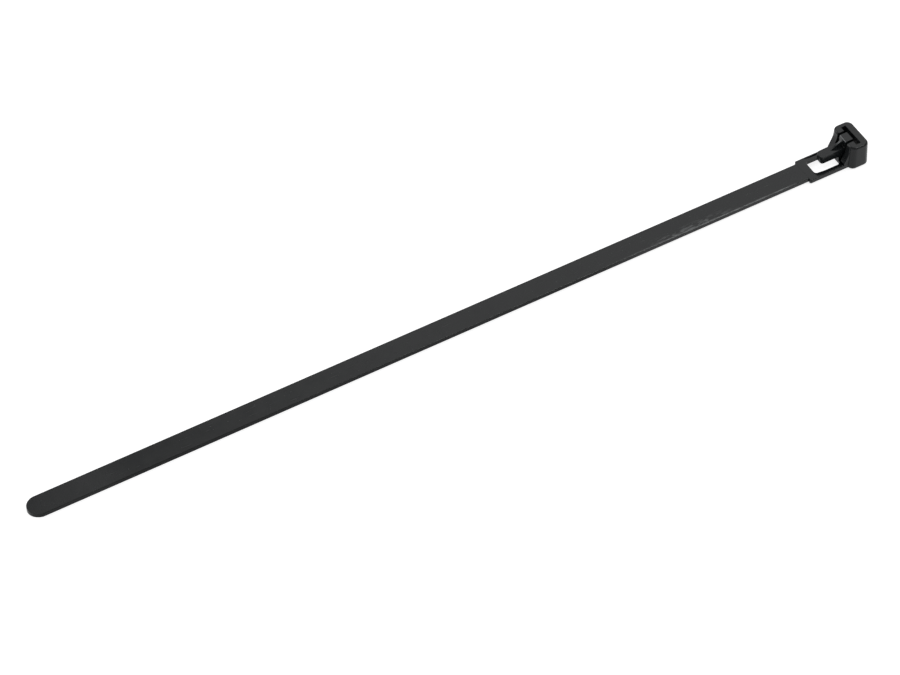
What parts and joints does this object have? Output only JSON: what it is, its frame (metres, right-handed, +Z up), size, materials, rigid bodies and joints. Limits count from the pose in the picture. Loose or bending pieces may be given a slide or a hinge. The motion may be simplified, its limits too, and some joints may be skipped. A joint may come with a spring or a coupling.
{
  "type": "cable tie",
  "caption": "Releasable cable tie: a long toothed strap with a rounded tip, a windowed neck and a box head with a slot, a spring pawl and a thumb lever.",
  "frame": {"origin": "centre of the bounding box in X and Y, at the lowest point of the tie as it lies", "axes": "+X along the strap from the tail to the head, +Y across the strap, +Z up, away from the toothed side"},
  "size_m": [0.3, 0.0128, 0.0092],
  "materials": {
    "black_nylon": "satin, as moulded"
  },
  "bodies": {
    "root": {"cable_tie": "black_nylon"}
  },
  "joints": []
}
